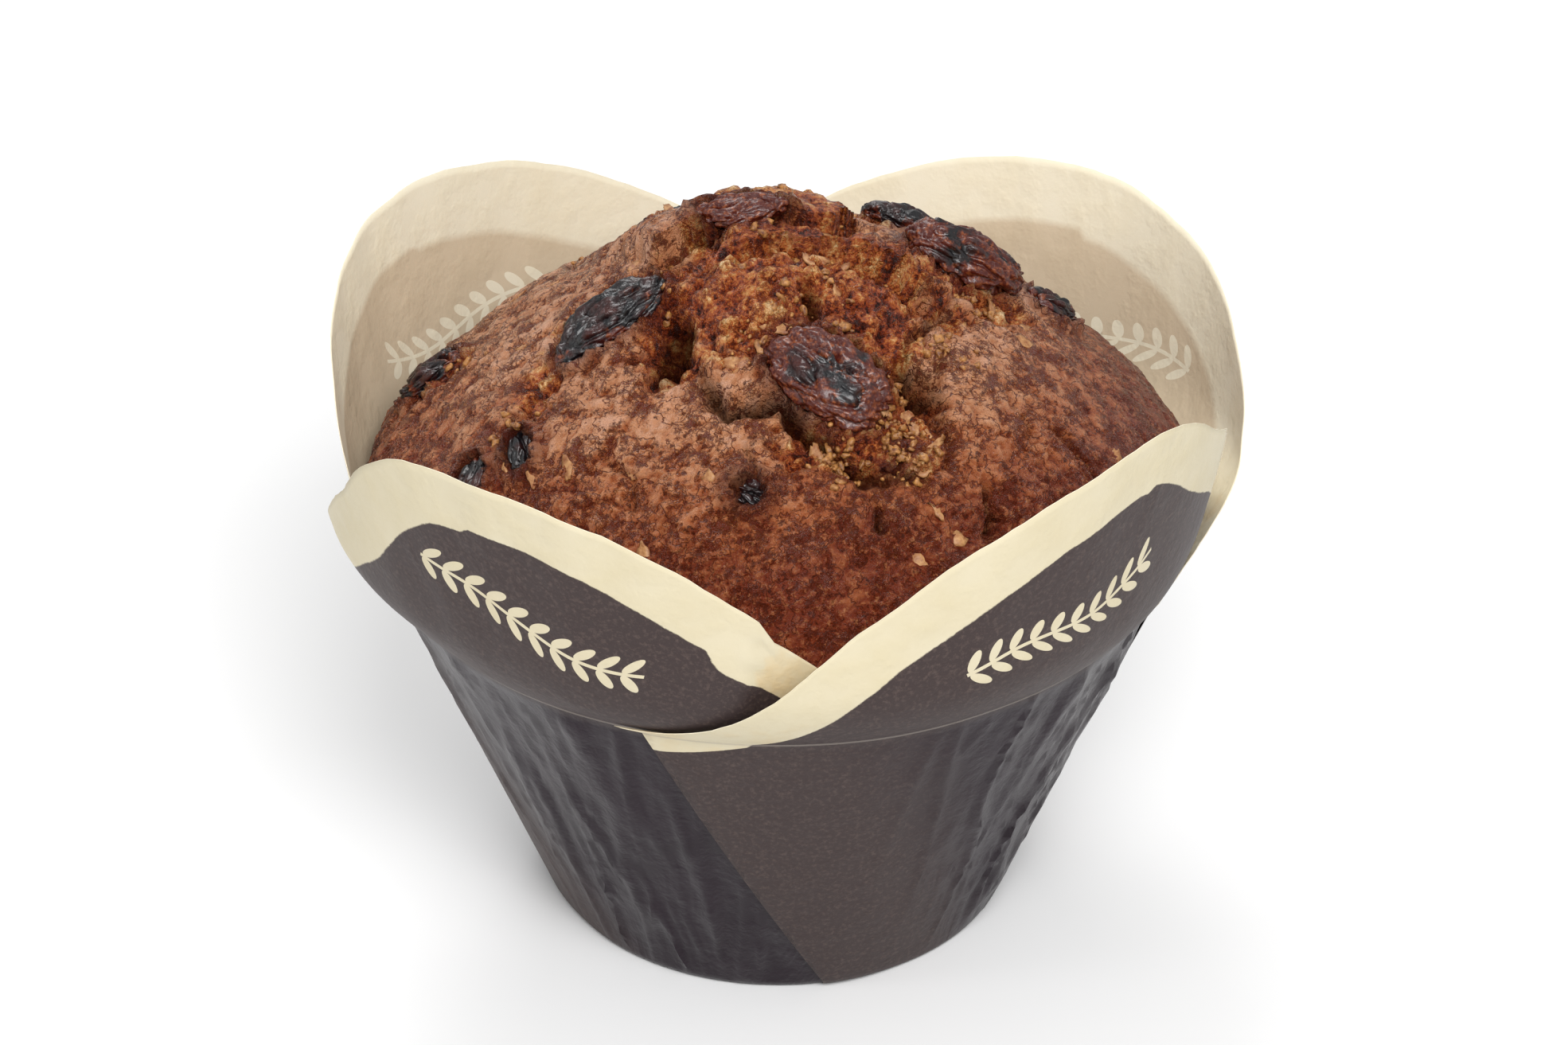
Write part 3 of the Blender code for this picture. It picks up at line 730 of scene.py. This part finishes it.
def crust_material():
    """Baked bran crust: browned sugar and flour with a dull, slightly oily shine, on golden open crumb."""
    material, tree, shader = start_material("baked bran crust")
    place = add_node(tree, "ShaderNodeTexCoord").node.outputs["Object"]
    crust, relief_shade, pit, juice = (
        add_node(tree, ATTRIBUTE, attribute_name=layer).node.outputs["Fac"]
        for layer in ("crust", "relief_shade", "pit", "juice")
    )
    grit = add_node(tree, NOISE, {"Vector": place, "Scale": 1 / (0.7 * MM), "Detail": 5.0, "Roughness": 0.75})
    patch = add_node(tree, NOISE, {"Vector": place, "Scale": 1 / (3.2 * MM), "Detail": 5.0, "Roughness": 0.6})
    zone = add_node(tree, NOISE, {"Vector": place, "Scale": 1 / (14 * MM), "Detail": 2.0})
    # The plates' colour rises with the fine relief and with height on the dome, tilted up towards the back
    # left: the pinkish bloom on ridges and upper plates is a painted sheen, and the darker lower front is
    # painted shade, over the crust's own browning and random tone.
    height = add_node(tree, VECTOR, {0: place, 1: (-0.1, 0.12, 1.0)}, operation="DOT_PRODUCT")
    level = add_node(tree, MATH, {0: patch, 1: 1.0, 2: relief_shade}, operation="MULTIPLY_ADD")
    level = add_node(tree, MATH, {0: zone, 1: 0.5, 2: level}, operation="MULTIPLY_ADD")
    high = add_node(
        tree, RANGE, {0: height, "From Min": 54 * MM, "From Max": 68 * MM, "To Min": -0.76, "To Max": 0.1}
    )
    level = add_node(tree, MATH, {0: level, 1: high}, operation="ADD")
    level = add_node(tree, RANGE, {0: level, "From Min": 0.54, "From Max": 1.72})
    plate_tone_and_sheen = add_node(tree, "ShaderNodeValToRGB", {0: level})
    # The crust is crazed: red-brown lines at two sizes, and pores between them.
    crazes = []
    for size, detail, core, edge in ((2.6, 3.0, 0.004, 0.022), (1.0, 2.0, 0.008, 0.05)):
        line = {"Vector": place, "Scale": 1 / (size * MM), "Detail": detail, "Roughness": 0.6}
        line = add_node(tree, NOISE, line)
        line = add_node(tree, MATH, {0: line, 1: 0.5}, operation="SUBTRACT")
        line = add_node(tree, MATH, {0: line}, operation="ABSOLUTE")
        crazes.append(add_node(tree, RANGE, {0: line, "From Min": edge, "From Max": core}))
    wide, narrow = crazes
    crazed = add_node(
        tree, RANGE, {0: patch, "From Min": 0.58, "From Max": 0.42, "To Min": 0.1, "To Max": 0.95}
    )
    narrow = add_node(tree, MATH, {0: narrow, 1: crazed}, operation="MULTIPLY")
    craze = add_node(tree, MATH, {0: wide, 1: narrow}, operation="MAXIMUM")
    pores = add_node(tree, MATH, {0: patch, 1: 0.9, 2: grit}, operation="MULTIPLY_ADD")
    pores = add_node(tree, RANGE, {0: pores, "From Min": 0.9, "From Max": 0.8})
    lines = add_node(tree, MATH, {0: craze, 1: pores}, operation="MAXIMUM")
    lined = add_node(tree, MATH, {0: lines, 1: 0.92}, operation="MULTIPLY")
    plate = add_node(tree, MIX, {"Factor": lined, "A": plate_tone_and_sheen, "B": to_linear("#682206")}, data_type="RGBA")
    # Grains of bran and sugar stand out from the plates: golden where they rise, scorched where they sink.
    golden = add_node(tree, RANGE, {0: grit, "From Min": 0.54, "From Max": 0.68, "To Max": 0.55})
    plate = add_node(tree, MIX, {"Factor": golden, "A": plate, "B": to_linear("#cf8a58")}, data_type="RGBA")
    scorched = add_node(tree, RANGE, {0: grit, "From Min": 0.45, "From Max": 0.33, "To Max": 0.7})
    plate = add_node(tree, MIX, {"Factor": scorched, "A": plate, "B": to_linear("#4c1504")}, data_type="RGBA")
    # Open crumb is darkest in its low places and palest on its tufts: painted shade and painted highlight
    # over its golden colour.
    open_level = add_node(tree, MATH, {0: grit, 1: 2.2, 2: relief_shade}, operation="MULTIPLY_ADD")
    open_level = add_node(tree, MATH, {0: patch, 1: 0.8, 2: open_level}, operation="MULTIPLY_ADD")
    open_level = add_node(tree, RANGE, {0: open_level, "From Min": 1.45, "From Max": 2.45})
    opened = add_node(tree, "ShaderNodeValToRGB", {0: open_level})
    # Plate stops climb from red-brown to the pinkish painted sheen.
    browned = ((0.0, "#74290a"), (0.3, "#a3572c"), (0.6, "#c4855c"), (0.95, "#dba688"))
    # Open crumb stops run from near-black painted shade to a pale painted highlight.
    sponge = ((0.0, "#2e0a02"), (0.25, "#7c2a08"), (0.5, "#b25a24"), (0.74, "#cf9050"), (1.0, "#f0ca96"))
    for ramp, stops in ((plate_tone_and_sheen.node.color_ramp, browned), (opened.node.color_ramp, sponge)):
        for position, _ in stops[2:]:
            ramp.elements.new(position)
        for element, (position, shade) in zip(ramp.elements, stops):
            element.position = position
            element.color = to_linear(shade)
    colour = add_node(tree, MIX, {"Factor": crust, "A": opened, "B": plate}, data_type="RGBA")
    wet = add_node(tree, MATH, {0: juice, 1: 0.6}, operation="MULTIPLY")
    colour = add_node(tree, MIX, {"Factor": wet, "A": colour, "B": to_linear("#561c0e")}, data_type="RGBA")
    # Painted shade: cracks, pits and the crust's edge against the raisins go nearly black.
    dark = add_node(tree, MATH, {0: pit, 1: 0.85}, operation="MULTIPLY")
    colour = add_node(tree, MIX, {"Factor": dark, "A": colour, "B": to_linear("#1f0b06")}, data_type="RGBA")
    tree.links.new(colour, shader.inputs["Base Color"])
    gloss = add_node(
        tree, RANGE, {0: patch, "From Min": 0.35, "From Max": 0.65, "To Min": 0.24, "To Max": 0.42}
    )
    tree.links.new(gloss, shader.inputs["Roughness"])
    sheen = add_node(tree, MATH, {0: pit, 1: -0.34, 2: 0.38}, operation="MULTIPLY_ADD")
    tree.links.new(sheen, shader.inputs["Specular IOR Level"])
    shader.inputs["Specular IOR Level"].default_value = 0.38
    shader.inputs["Coat Weight"].default_value = 0.3
    shader.inputs["Coat Roughness"].default_value = 0.16
    oil = add_node(tree, MATH, {0: pit, 1: -0.3, 2: 0.3}, operation="MULTIPLY_ADD")
    tree.links.new(oil, shader.inputs["Coat Weight"])
    skin = add_node(tree, MATH, {0: lines, 1: -0.35, 2: grit}, operation="MULTIPLY_ADD")
    bump = add_node(tree, "ShaderNodeBump", {"Height": skin, "Strength": 1.0, "Distance": 0.75 * MM})
    tree.links.new(bump, shader.inputs["Normal"])
    tree.links.new(bump, shader.inputs["Coat Normal"])
    return material


crust_finish = crust_material()
crumb = add_piece("baked_crumb_dome", crumb_shape(), crust_finish)
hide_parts("muffin_crumb")

# ---------------------------------------------------------------------------------------------
# Raisins. Dried grapes baked into the crust: a soft skin in folds and wrinkles, nearly black
# where it is thick and red-brown where light passes, with baked crumb stuck along their edges.
RAISIN_CUTS = 7
MAIN_WRINKLE = 0.75
SIDE_WRINKLE = 0.3
# How much of a raisin the baked batter covers, where it differs from the rest.
BATTER_FILM = {"raisin_crown": 1.3, "raisin_top_right": 0.75, "raisin_centre": 0.8, "raisin_in_crack": 0.6}


def raisin_skin(name):
    """A raisin's plain solid with its skin folded into wrinkles along its length."""
    shape = fused_copy(name)
    film = shape.verts.layers.float.new("film")
    crease = shape.verts.layers.float.new("crease")
    bmesh.ops.subdivide_edges(shape, edges=shape.edges, cuts=RAISIN_CUTS, use_grid_fill=True, smooth=0.6)
    for _ in range(6):
        bmesh.ops.smooth_vert(
            shape, verts=shape.verts, factor=0.5, use_axis_x=True, use_axis_y=True, use_axis_z=True
        )
    points = numpy.array([vert.co for vert in shape.verts]) / MM
    middle = Vector(points.mean(axis=0))
    axes = [Vector(row) for row in numpy.linalg.svd(points - points.mean(axis=0), full_matrices=False)[2]]
    outward = (middle - DOME_HEART).normalized()
    halves = [max(abs((Vector(point) - middle).dot(axis)) for point in points) for axis in axes]
    shape.normal_update()
    moves = []
    for vert in shape.verts:
        here = vert.co / MM
        u, v, w = ((here - middle).dot(axis) for axis in axes)
        bent = 0.5 * noise.noise(here / 3.0)
        along = Vector((u / 4.2, v / 1.35 + bent, w / 1.35)) + middle
        fold = 1 - smooth_step(0.0, 0.3, abs(noise.noise(along)))
        side = 1 - smooth_step(0.0, 0.3, abs(noise.noise(along * 2.1 + Vector((4, 4, 4)))))
        off_spine = v / halves[1] - 0.28 + 0.25 * noise.noise(Vector((u / 3.0, 0, 0)))
        spine = 1 - smooth_step(0.0, 0.16, abs(off_spine))
        size = min(halves[2] / 2.2, 1.0)
        depth = size * (MAIN_WRINKLE * fold + SIDE_WRINKLE * side + 1.1 * spine * (abs(u) < 0.8 * halves[0]))
        lump = 0.35 * size * noise.noise(here / 2.2)
        level = (here - middle).dot(outward) / halves[2]
        moves.append((vert, vert.normal * (lump - 0.8 * depth - 0.1 * size), level, max(fold, spine)))
    for vert, move, level, fold in moves:
        here = vert.co / MM
        vert.co += move * MM
        ragged = 0.7 * noise.noise(here / 3.4) + 0.4 * noise.noise(here / 1.3)
        vert[film] = smooth_step(0.0, 0.5, BATTER_FILM.get(name, 0.15) + 1.2 * ragged - 0.55 * level)
        vert[crease] = fold
    bmesh.ops.recalc_face_normals(shape, faces=shape.faces)
    return shape


def raisin_material():
    """Raisin skin: a waxy dark skin that shines softly, with a film of baked batter on it."""
    material, tree, shader = start_material("raisin skin")
    place = add_node(tree, "ShaderNodeTexCoord").node.outputs["Object"]
    film = add_node(tree, ATTRIBUTE, attribute_name="film").node.outputs["Fac"]
    crease = add_node(tree, ATTRIBUTE, attribute_name="crease").node.outputs["Fac"]
    mottle = {"Vector": place, "Scale": 1 / (2.2 * MM), "Detail": 4.0, "Roughness": 0.6}
    mottle = add_node(tree, NOISE, mottle)
    grit = add_node(tree, NOISE, {"Vector": place, "Scale": 1 / (0.5 * MM), "Detail": 4.0, "Roughness": 0.6})
    red = add_node(tree, RANGE, {0: mottle, "From Min": 0.42, "From Max": 0.66})
    skin = add_node(
        tree, MIX, {"Factor": red, "A": to_linear("#0e0e12"), "B": to_linear("#3c100a")}, data_type="RGBA"
    )
    # Painted shade: the skin goes darker down in its folds.
    crease_shade = add_node(tree, MATH, {0: crease, 1: 0.7}, operation="MULTIPLY")
    skin = add_node(tree, MIX, {"Factor": crease_shade, "A": skin, "B": to_linear("#0b0708")}, data_type="RGBA")
    baked = add_node(tree, RANGE, {0: grit, "From Min": 0.5, "From Max": 0.72})
    batter = add_node(
        tree, MIX, {"Factor": baked, "A": to_linear("#4a1206"), "B": to_linear("#94502a")}, data_type="RGBA"
    )
    stuck = add_node(tree, MATH, {0: grit, 1: 1.6, 2: film}, operation="MULTIPLY_ADD")
    stuck = add_node(tree, RANGE, {0: stuck, "From Min": 1.15, "From Max": 1.7})
    colour = add_node(tree, MIX, {"Factor": stuck, "A": skin, "B": batter}, data_type="RGBA")
    tree.links.new(colour, shader.inputs["Base Color"])
    gloss = add_node(tree, RANGE, {0: stuck, "To Min": 0.28, "To Max": 0.36})
    tree.links.new(gloss, shader.inputs["Roughness"])
    shader.inputs["Specular IOR Level"].default_value = 0.42
    shader.inputs["Coat Weight"].default_value = 0.35
    shader.inputs["Coat Roughness"].default_value = 0.18
    bump = add_node(tree, "ShaderNodeBump", {"Height": grit, "Strength": 0.6, "Distance": 0.3 * MM})
    tree.links.new(bump, shader.inputs["Normal"])
    return material


raisin_finish = raisin_material()
for raisin_name in raisin_names:
    raisin = add_piece(f"{raisin_name}_skin", raisin_skin(raisin_name), raisin_finish)
    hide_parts(raisin_name)

# ---------------------------------------------------------------------------------------------
# Bran flakes and loose crumbs. Flat curled husks of wheat baked flush into the crust, and golden
# crumbs that broke off at the torn edges and stuck there.
FLAKE_COUNT = 48
CRUMB_PILES = (
    (12.5, -22.5, 3.6, 60), (6.0, -27.0, 3.0, 36), (13.0, -27.0, 2.4, 26), (-3.0, -16.0, 3.5, 16),
    (4.0, -9.0, 7.0, 30), (-14.0, -6.0, 4.0, 22), (20.0, -3.0, 3.5, 22), (17.0, -12.0, 3.0, 18),
    (-35.0, 2.0, 3.0, 12), (-27.0, -17.0, 3.0, 12), (-2.0, 4.0, 9.0, 26), (-15.0, 20.0, 5.0, 20),
    (10.0, 19.0, 5.0, 20),
)
draw = random.Random(11)


def crust_place(x, y):
    """The crust's point and its outward direction at a place seen from above."""
    azimuth = math.degrees(math.atan2(x, -y))
    radius = math.hypot(x, y)
    steps = [step for step, place in enumerate(dome_curve) if place.x <= radius and place.y > 50]
    way = dome_ways[steps[-1]]
    point = crust_reading(azimuth, way)[0]
    return point, (point - DOME_HEART).normalized()


def seat(point, outward, spin, tip):
    """Placement of a small thing on the crust, with its Z along the way out."""
    upright = outward.to_track_quat("Z", "Y").to_matrix().to_4x4()
    turned = Matrix.Rotation(spin, 4, "Z") @ Matrix.Rotation(tip, 4, "X")
    return Matrix.Translation(point * MM) @ upright @ turned


flakes = bmesh.new()
for number in range(FLAKE_COUNT):
    spread = 40.0 * math.sqrt(draw.random())
    turn = draw.uniform(-130.0, 130.0) if number % 3 else draw.uniform(-70.0, 70.0)
    spot = around(turn, spread)
    point, outward = crust_place(spot.x, spot.y)
    half_length, half_width = draw.uniform(0.7, 1.5), draw.uniform(0.4, 0.75)
    made = bmesh.ops.create_grid(flakes, x_segments=5, y_segments=3, size=1.0)["verts"]
    curl = draw.uniform(-0.35, 0.35)
    for vert in made:
        x, y = vert.co.x, vert.co.y
        blunt = math.sqrt(1 - 0.9 * x * x)
        jag = 1 + 0.5 * noise.noise(Vector((x * 1.5, y * 1.5, number)))
        vert.co = Vector((x * half_length * jag, y * half_width * blunt * jag, curl * (x * x - 0.4))) * MM
    lie = seat(point + outward * 0.08, outward, draw.uniform(0, math.pi), draw.uniform(-0.5, 0.5))
    bmesh.ops.transform(flakes, matrix=lie, verts=made)


def husk_material():
    """Wheat bran husk: a papery tan flake, browned and oiled by baking."""
    material, tree, shader = start_material("wheat bran husk")
    place = add_node(tree, "ShaderNodeTexCoord").node.outputs["Object"]
    streak = {"Vector": place, "Scale": 1 / (0.9 * MM), "Detail": 4.0, "Roughness": 0.7}
    streak = add_node(tree, NOISE, streak)
    level = add_node(tree, RANGE, {0: streak, "From Min": 0.35, "From Max": 0.65})
    colour = add_node(
        tree, MIX, {"Factor": level, "A": to_linear("#7d441f"), "B": to_linear("#bb8c5c")}, data_type="RGBA"
    )
    tree.links.new(colour, shader.inputs["Base Color"])
    shader.inputs["Roughness"].default_value = 0.5
    bump = add_node(tree, "ShaderNodeBump", {"Height": streak, "Strength": 0.5, "Distance": 0.15 * MM})
    tree.links.new(bump, shader.inputs["Normal"])
    return material


husks = add_piece("bran_flakes", flakes, husk_material())
husk_wall = husks.modifiers.new("husk thickness", "SOLIDIFY")
husk_wall.thickness = 0.22 * MM

loose = bmesh.new()
for pile_x, pile_y, reach, count in CRUMB_PILES:
    for number in range(count):
        spot_x, spot_y = draw.gauss(pile_x, reach / 2), draw.gauss(pile_y, reach / 2)
        point, outward = crust_place(spot_x, spot_y)
        size = draw.uniform(0.15, 0.5)
        stretch = Vector((draw.uniform(0.7, 1.5), draw.uniform(0.7, 1.2), draw.uniform(0.6, 1.0)))
        made = bmesh.ops.create_uvsphere(loose, u_segments=8, v_segments=5, radius=size * MM)["verts"]
        for vert in made:
            vert.co *= 1 + 1.1 * noise.noise(vert.co / (0.45 * MM) + point)
            vert.co *= stretch
        lie = seat(point + outward * size * 0.3, outward, draw.uniform(0, math.tau), draw.uniform(0, 1.5))
        bmesh.ops.transform(loose, matrix=lie, verts=made)


def golden_material():
    """Golden crumb: broken open sponge, browned at its tips and a little oily."""
    material, tree, shader = start_material("golden sponge crumb")
    place = add_node(tree, "ShaderNodeTexCoord").node.outputs["Object"]
    grain = add_node(tree, NOISE, {"Vector": place, "Scale": 1 / (0.7 * MM), "Detail": 4.0, "Roughness": 0.7})
    level = add_node(tree, RANGE, {0: grain, "From Min": 0.35, "From Max": 0.65})
    colour = add_node(
        tree, MIX, {"Factor": level, "A": to_linear("#5c2a0e"), "B": to_linear("#b98246")}, data_type="RGBA"
    )
    tree.links.new(colour, shader.inputs["Base Color"])
    shader.inputs["Roughness"].default_value = 0.45
    bump = add_node(tree, "ShaderNodeBump", {"Height": grain, "Strength": 0.7, "Distance": 0.2 * MM})
    tree.links.new(bump, shader.inputs["Normal"])
    return material


loose_crumbs = add_piece("golden_crumbs", loose, golden_material())

# ---------------------------------------------------------------------------------------------
# Studio: a plain pale floor, soft light and the camera.
CAMERA_PLACE = Vector((0.0, -430.8, 293.9))
CAMERA_AIM = Vector((0.55, 0.0, 44.27))
camera_data = bpy.data.cameras.new("camera")
camera_data.lens = 104.2
camera_data.sensor_width = 36.0
camera_data.clip_start = 0.01
camera = bpy.data.objects.new("camera", camera_data)
bpy.context.scene.collection.objects.link(camera)
camera.matrix_world = Matrix.Translation(CAMERA_PLACE * MM) @ (
    (CAMERA_AIM - CAMERA_PLACE).to_track_quat("-Z", "Y").to_matrix().to_4x4()
)
bpy.context.scene.camera = camera

floor_shape = bmesh.new()
bmesh.ops.create_grid(floor_shape, x_segments=1, y_segments=1, size=3.0)
floor_mesh = bpy.data.meshes.new("floor")
floor_shape.to_mesh(floor_mesh)
floor_shape.free()
floor = bpy.data.objects.new("floor", floor_mesh)
bpy.context.scene.collection.objects.link(floor)
floor_material, _, floor_shader = start_material("matte white board")
floor_shader.inputs["Base Color"].default_value = to_linear("#f4f4f4")
floor_shader.inputs["Roughness"].default_value = 0.9
floor_mesh.materials.append(floor_material)


def soft_light(name, place, aim, size, power):
    """A square softbox that points at the muffin."""
    data = bpy.data.lights.new(name, "AREA")
    data.energy = power
    data.size = size * MM
    lamp = bpy.data.objects.new(name, data)
    bpy.context.scene.collection.objects.link(lamp)
    lamp.matrix_world = Matrix.Translation(place * MM) @ (
        (aim - place).to_track_quat("-Z", "Y").to_matrix().to_4x4()
    )


soft_light("back softbox", Vector((-80, 380, 520)), Vector((0, 0, 40)), 260, 1.3)
soft_light("front softbox", Vector((95, -455, 500)), Vector((0, 0, 40)), 280, 3.5)
soft_light("left strip", Vector((-520, -200, 260)), Vector((0, 0, 40)), 110, 0.3)
world = bpy.data.worlds.new("studio")
bpy.context.scene.world = world
world.use_nodes = True
world.node_tree.nodes["Background"].inputs["Color"].default_value = (1.0, 1.0, 1.0, 1.0)
world.node_tree.nodes["Background"].inputs["Strength"].default_value = 0.56
bpy.context.scene.view_settings.view_transform = "Standard"
